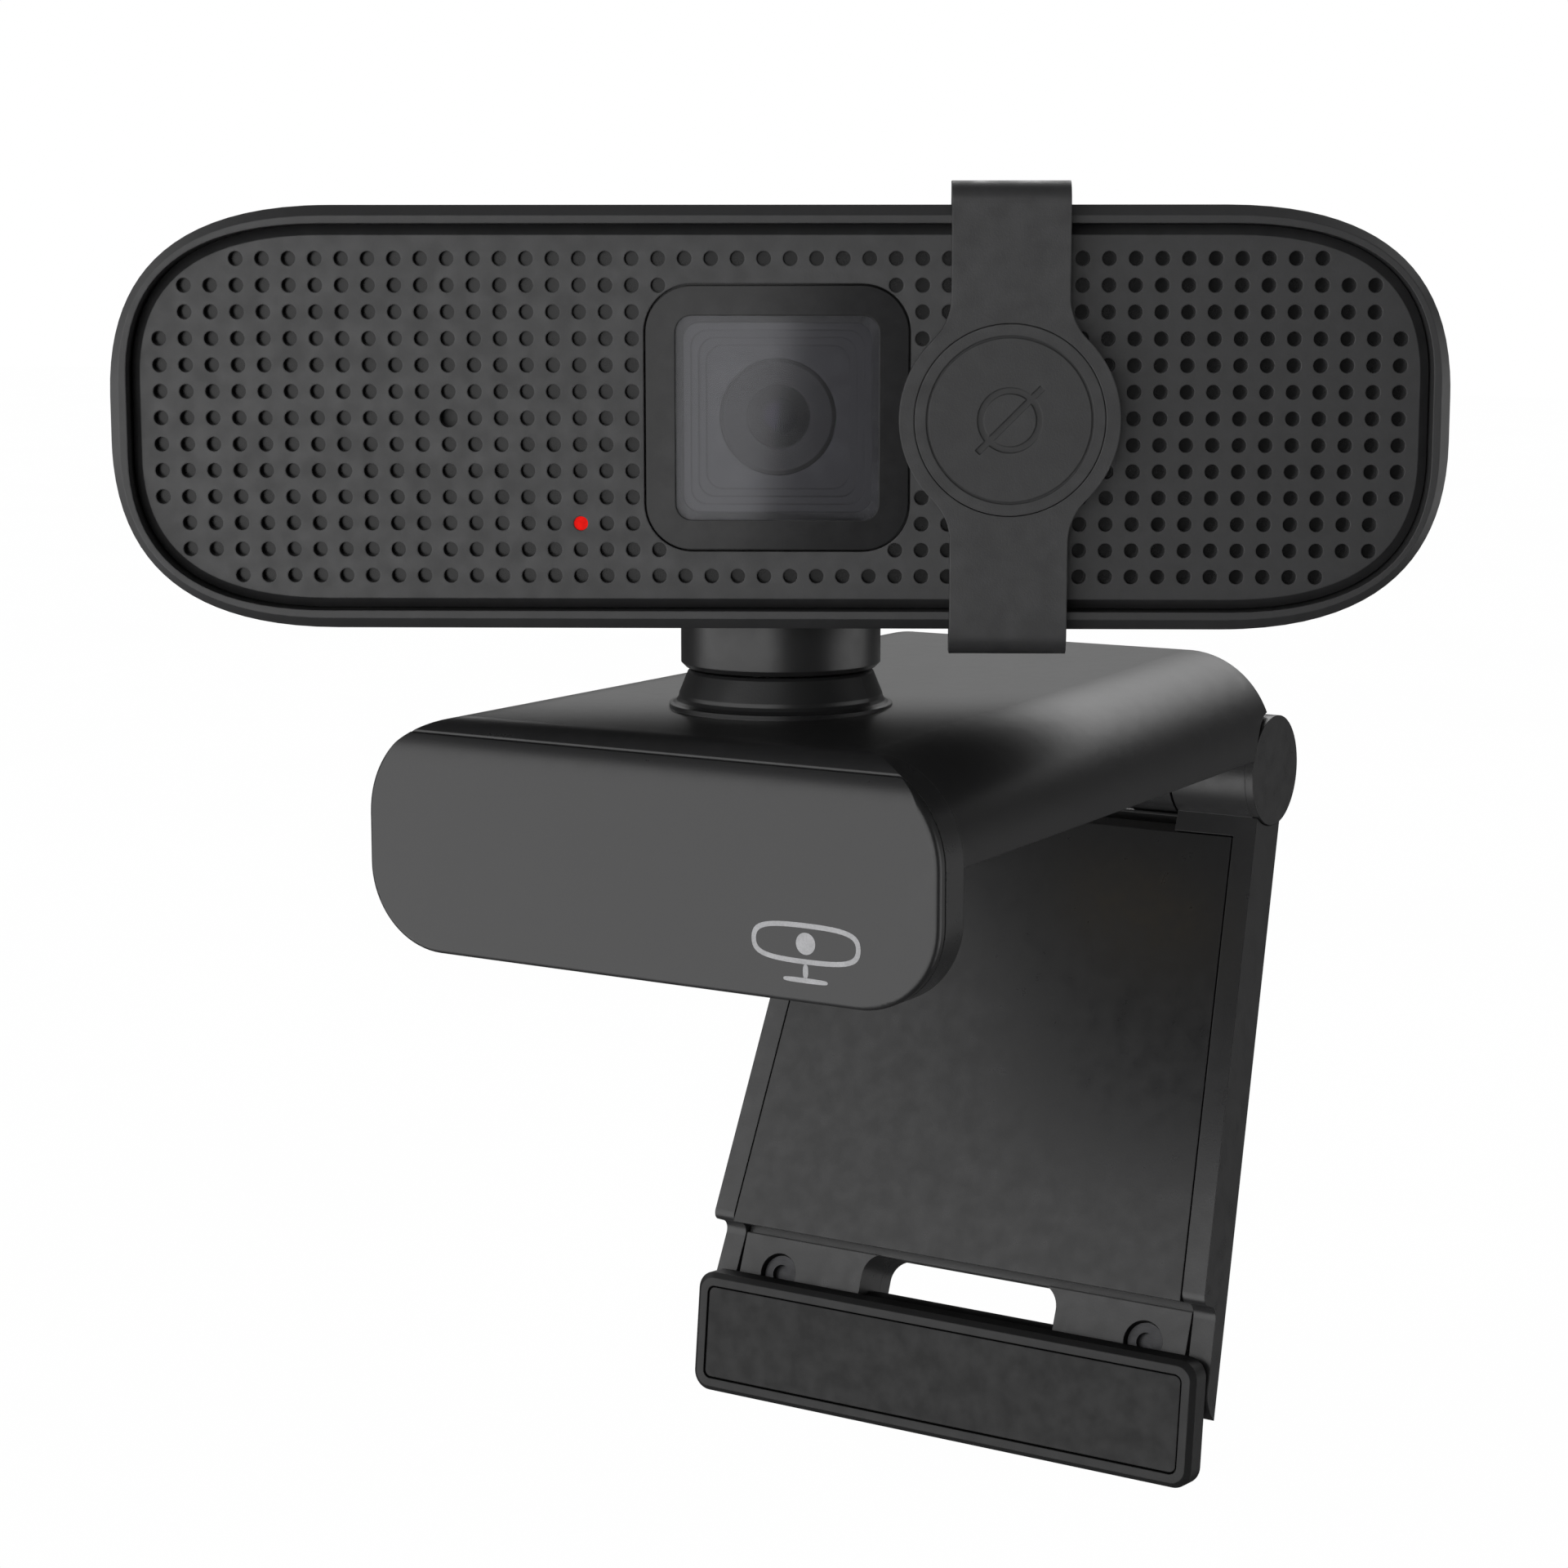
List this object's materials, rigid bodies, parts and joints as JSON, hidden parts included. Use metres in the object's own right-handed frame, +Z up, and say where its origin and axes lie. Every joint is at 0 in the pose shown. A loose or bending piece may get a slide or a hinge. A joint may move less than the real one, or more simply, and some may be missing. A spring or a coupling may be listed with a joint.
{
  "type": "clip-on webcam",
  "caption": "Wide camera bar with a perforated face, square lens surround and sliding privacy cover, on a swivel and tilt neck over a folding monitor clip.",
  "frame": {"origin": "on the swivel axis, on the face of the seat pad that rests on the monitor", "axes": "+Z up along the swivel axis, -Y the front of the clip, +X its right-hand side; the camera bar is turned 30.3 degrees about Z at rest"},
  "size_m": [0.092, 0.0829, 0.1041],
  "materials": {
    "charcoal_plastic": "fine satin texture",
    "dark_plastic": "matte",
    "neck_plastic": "satin",
    "cover_plastic": "fine matte texture",
    "clip_plastic": "fine satin texture",
    "leg_plastic": "satin",
    "chip_black": "moulded",
    "rubber": "matte",
    "screw_steel": "bright",
    "screw_black": "black oxide",
    "steel": "satin",
    "window_glass": "polished",
    "lens_glass": "coated",
    "board_green": "solder mask",
    "led_red": "clear tinted",
    "brass": "turned"
  },
  "bodies": {
    "clip": {"clip_body": "clip_plastic", "clip_front_plate": "clip_plastic", "lip_plate": "clip_plastic", "lip_screws": "screw_steel", "lip_pad": "rubber", "clip_base": "clip_plastic", "seat_pad": "rubber", "base_screws": "screw_steel", "thread_insert": "brass", "hinge_pin": "steel", "friction_washers": "steel"},
    "swivel": {"swivel_collar": "neck_plastic", "swivel_stud": "steel", "swivel_washer": "steel", "swivel_nut": "steel"},
    "head": {"front_bezel": "charcoal_plastic", "grille_panel": "charcoal_plastic", "grille_backing": "charcoal_plastic", "lens_bezel": "dark_plastic", "lens_window": "window_glass", "lens_baffle": "dark_plastic", "lens_barrel": "dark_plastic", "lens_retainer": "dark_plastic", "front_element": "lens_glass", "lens_holder": "dark_plastic", "image_sensor": "chip_black", "main_board": "board_green", "board_chips": "chip_black", "microphones": "chip_black", "microphone_boots": "rubber", "light_pipe": "led_red", "status_led": "led_red", "rear_shell": "charcoal_plastic", "shell_screws": "screw_steel", "cable_gland": "dark_plastic", "tilt_bracket": "steel", "bracket_screws": "screw_steel", "board_screws": "screw_steel", "tilt_pin": "steel", "tilt_washers": "steel"},
    "cover": {"privacy_cover": "cover_plastic", "cover_badge": "cover_plastic"},
    "leg": {"leg_frame": "clip_plastic", "leg_panel": "leg_plastic", "leg_bracket": "clip_plastic", "leg_screws": "screw_black", "foot_pin": "steel", "hinge_cap_left": "clip_plastic", "hinge_cap_right": "clip_plastic"},
    "foot": {"foot_plate": "clip_plastic", "foot_rubber": "rubber"}
  },
  "joints": [
    {"name": "head_pan", "type": "hinge", "parent": "clip", "child": "swivel", "pos_m": [0, 0, 0.012], "axis": [0, 0, 1], "range_deg": [-180, 180]},
    {"name": "head_tilt", "type": "hinge", "parent": "swivel", "child": "head", "pos_m": [0, 0, 0.01945], "axis": [0.8634, 0.5045, 0], "range_deg": [-15, 13]},
    {"name": "cover_slide", "type": "slide", "parent": "head", "child": "cover", "axis": [0.8634, 0.5045, 0], "range_m": [-0.0441, 0.0112]},
    {"name": "leg_hinge", "type": "hinge", "parent": "clip", "child": "leg", "pos_m": [0, 0.0447, -0.0009], "axis": [1, 0, 0], "range_deg": [-52, 95]},
    {"name": "foot_hinge", "type": "hinge", "parent": "leg", "child": "foot", "pos_m": [0, 0.02972, -0.05014], "axis": [1, 0, 0], "range_deg": [-15, 60]}
  ]
}
